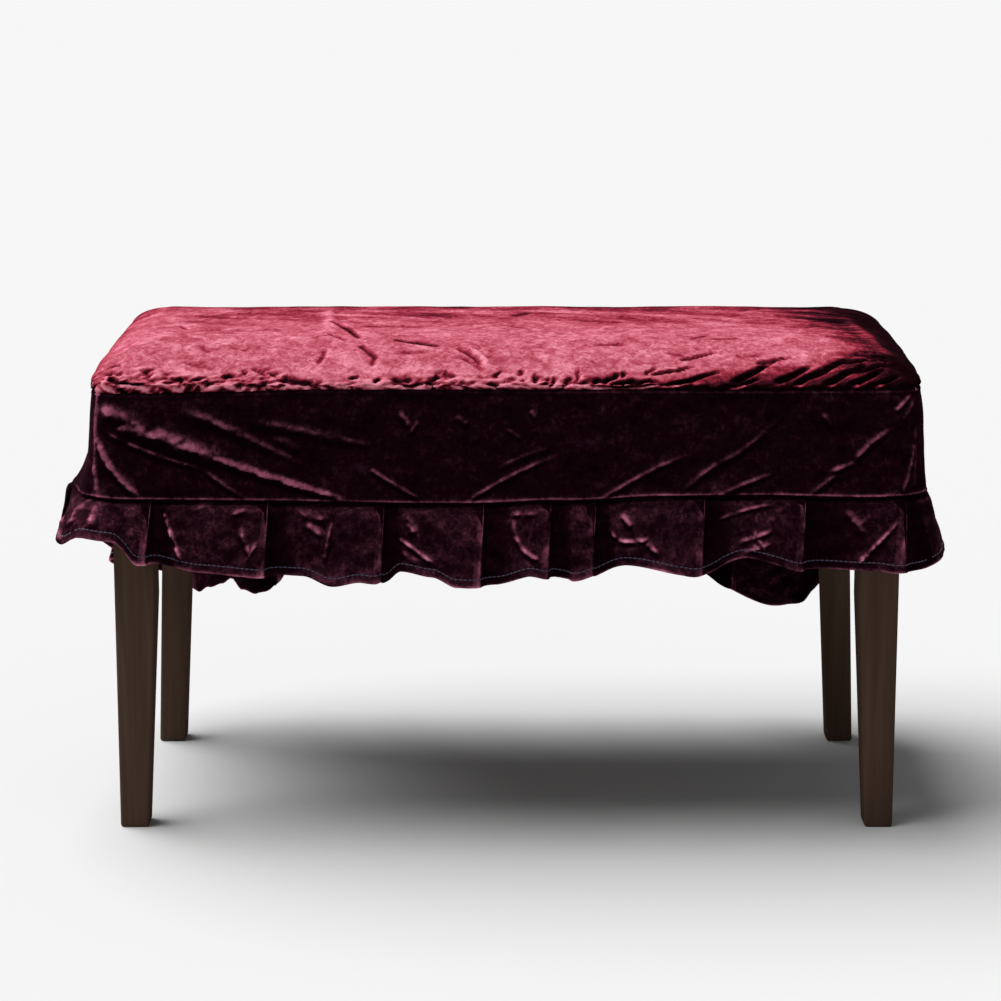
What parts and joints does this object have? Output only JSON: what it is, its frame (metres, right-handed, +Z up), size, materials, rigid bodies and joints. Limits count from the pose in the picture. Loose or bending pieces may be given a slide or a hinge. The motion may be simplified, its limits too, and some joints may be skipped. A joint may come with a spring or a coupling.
{
  "type": "ruffled bench cover on a piano bench",
  "caption": "Fitted velvet cover with a plain band and a pleated ruffle, draped over a plain padded piano bench on tapered legs.",
  "frame": {"origin": "on the floor, at the middle of the whole part's box seen from above", "axes": "+X along the bench's length to the right as seen from the front, +Y to the back, +Z up"},
  "size_m": [0.8888, 0.4342, 0.488],
  "materials": {
    "velvet": "crushed velvet, wine red with a pink sheen",
    "bench_black": "gloss brown-black lacquer"
  },
  "bodies": {
    "root": {"cover_top": "velvet", "band_front": "velvet", "ruffle_front": "velvet", "band_right": "velvet", "ruffle_right": "velvet", "band_back": "velvet", "ruffle_back": "velvet", "band_left": "velvet", "ruffle_left": "velvet", "bench_seat": "bench_black", "leg_front_left": "bench_black", "leg_front_right": "bench_black", "leg_back_left": "bench_black", "leg_back_right": "bench_black", "rail_front": "bench_black", "rail_back": "bench_black", "rail_left": "bench_black", "rail_right": "bench_black"}
  },
  "joints": []
}
